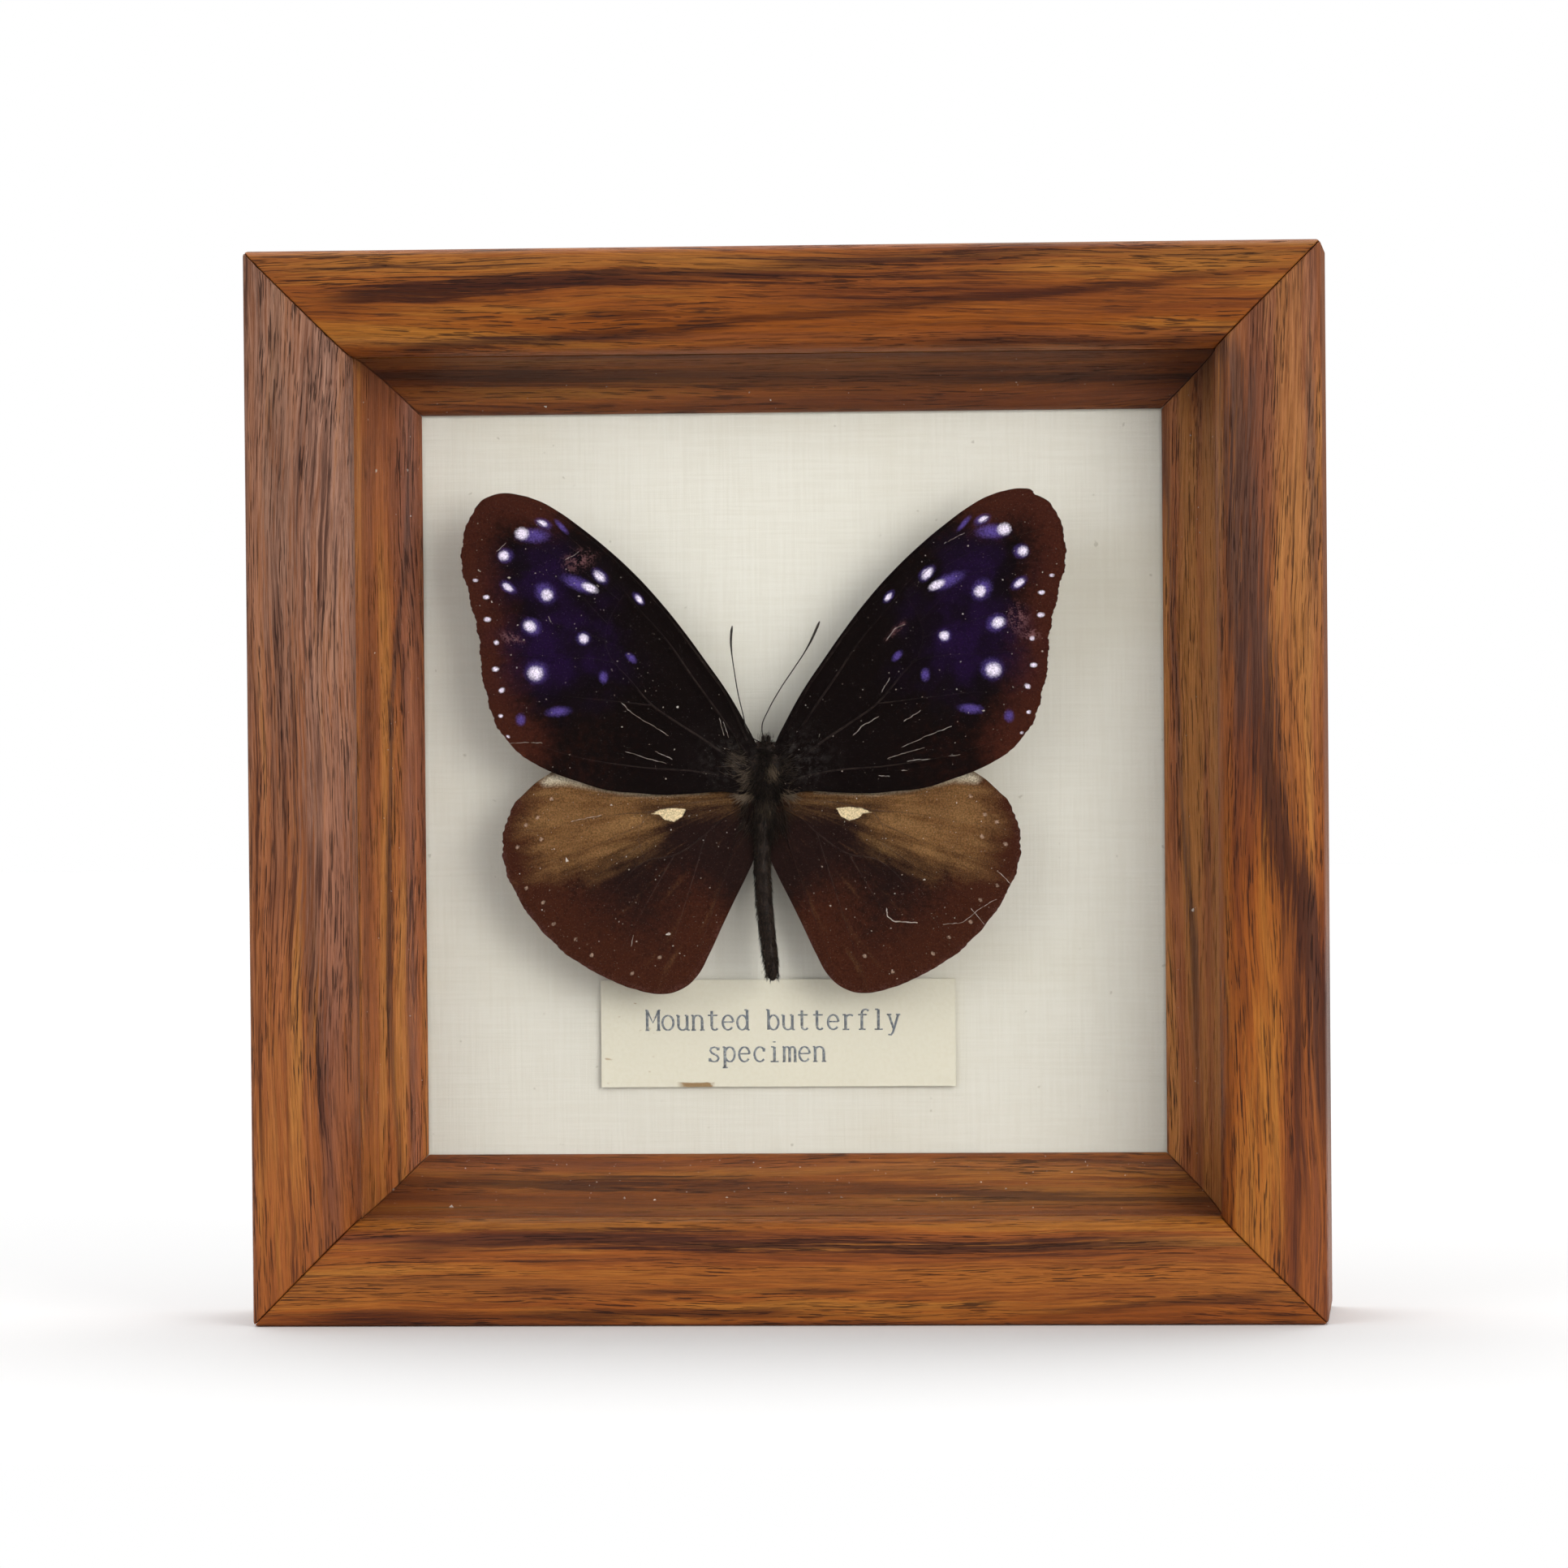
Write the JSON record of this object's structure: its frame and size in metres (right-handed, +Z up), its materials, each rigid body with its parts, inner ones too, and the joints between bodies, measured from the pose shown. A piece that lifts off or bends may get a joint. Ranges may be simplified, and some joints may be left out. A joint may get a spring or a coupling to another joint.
{
  "type": "framed butterfly specimen",
  "caption": "Spread dark butterfly on a pin over a linen-textured board, with a card below, behind glass in a mitred hardwood shadow frame.",
  "frame": {"origin": "middle of the underside of the whole object's box, on the surface the frame stands on", "axes": "+Z up, -Y out of the glass towards the viewer, +X to the viewer's right"},
  "size_m": [0.127, 0.0292, 0.127],
  "materials": {
    "rail_wood": "satin red-brown hardwood with dark purple-brown streaks",
    "liner_wood": "duller golden-brown hardwood with dark bands",
    "glass": "clear float glass, lightly dusty",
    "linen_board": "off-white linen-textured paper on board",
    "card": "matte off-white card",
    "hardboard": "brown hardboard",
    "steel": "plain bright steel",
    "insect_body": "dry black-brown chitin with hair",
    "forewing": "scaled, black-brown with a blue-violet gloss and pale spots",
    "hindwing": "scaled, dark brown with a pale leading edge"
  },
  "bodies": {
    "root": {"rail_bottom": "rail_wood", "rail_left": "rail_wood", "rail_top": "rail_wood", "rail_right": "rail_wood", "liner_bottom": "liner_wood", "liner_left": "liner_wood", "liner_top": "liner_wood", "liner_right": "liner_wood", "glass_pane": "glass", "mount_board": "linen_board", "label_card": "card", "back_panel": "hardboard", "brad_bottom_1": "steel", "brad_left_1": "steel", "brad_left_2": "steel", "brad_top_1": "steel", "brad_right_1": "steel", "brad_right_2": "steel", "sawtooth_hanger": "steel", "hanger_nail_left": "steel", "hanger_nail_right": "steel", "insect_pin": "steel", "butterfly_body": "insect_body", "antenna_left": "insect_body", "antenna_right": "insect_body", "forewing_left": "forewing", "forewing_right": "forewing", "hindwing_left": "hindwing", "hindwing_right": "hindwing"}
  },
  "joints": []
}
